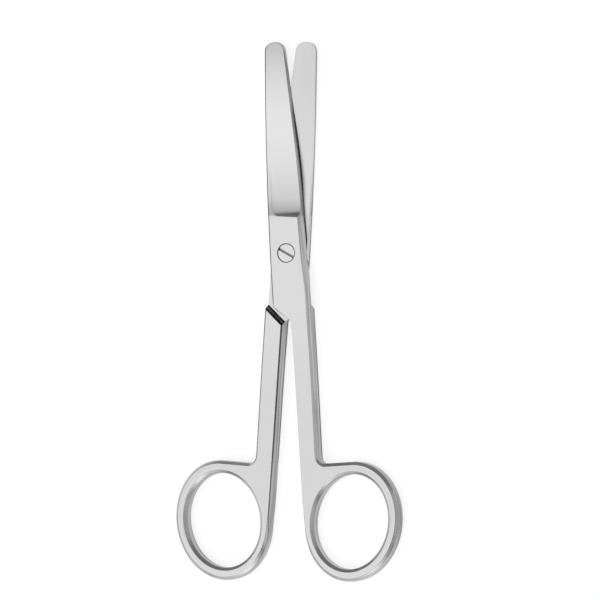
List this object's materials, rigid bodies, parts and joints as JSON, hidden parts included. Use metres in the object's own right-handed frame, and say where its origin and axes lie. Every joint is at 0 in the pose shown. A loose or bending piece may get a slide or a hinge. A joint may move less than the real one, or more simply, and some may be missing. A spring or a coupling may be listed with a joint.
{
  "type": "blunt operating scissors",
  "caption": "Straight steel operating scissors with rounded tips, hollow-ground blades, a lap joint with a slotted screw, and oval finger rings.",
  "frame": {"origin": "on the pivot axis, at the flat underside of the joint, where the screw's end is flush with it", "axes": "+Y along the closing line towards the tips, +Z along the pivot axis from the underside to the screw head's side, +X to the picture's right"},
  "size_m": [0.066, 0.1449, 0.0052],
  "materials": {
    "satin_steel": "satin",
    "screw_steel": "fine satin"
  },
  "bodies": {
    "lower": {"lower_half": "satin_steel", "pivot_screw": "screw_steel"},
    "upper": {"upper_half": "satin_steel"}
  },
  "joints": [
    {"name": "pivot", "type": "hinge", "parent": "lower", "child": "upper", "pos_m": [0, 0, 0.0026], "axis": [0, 0, 1], "range_deg": [-8, 133]}
  ]
}
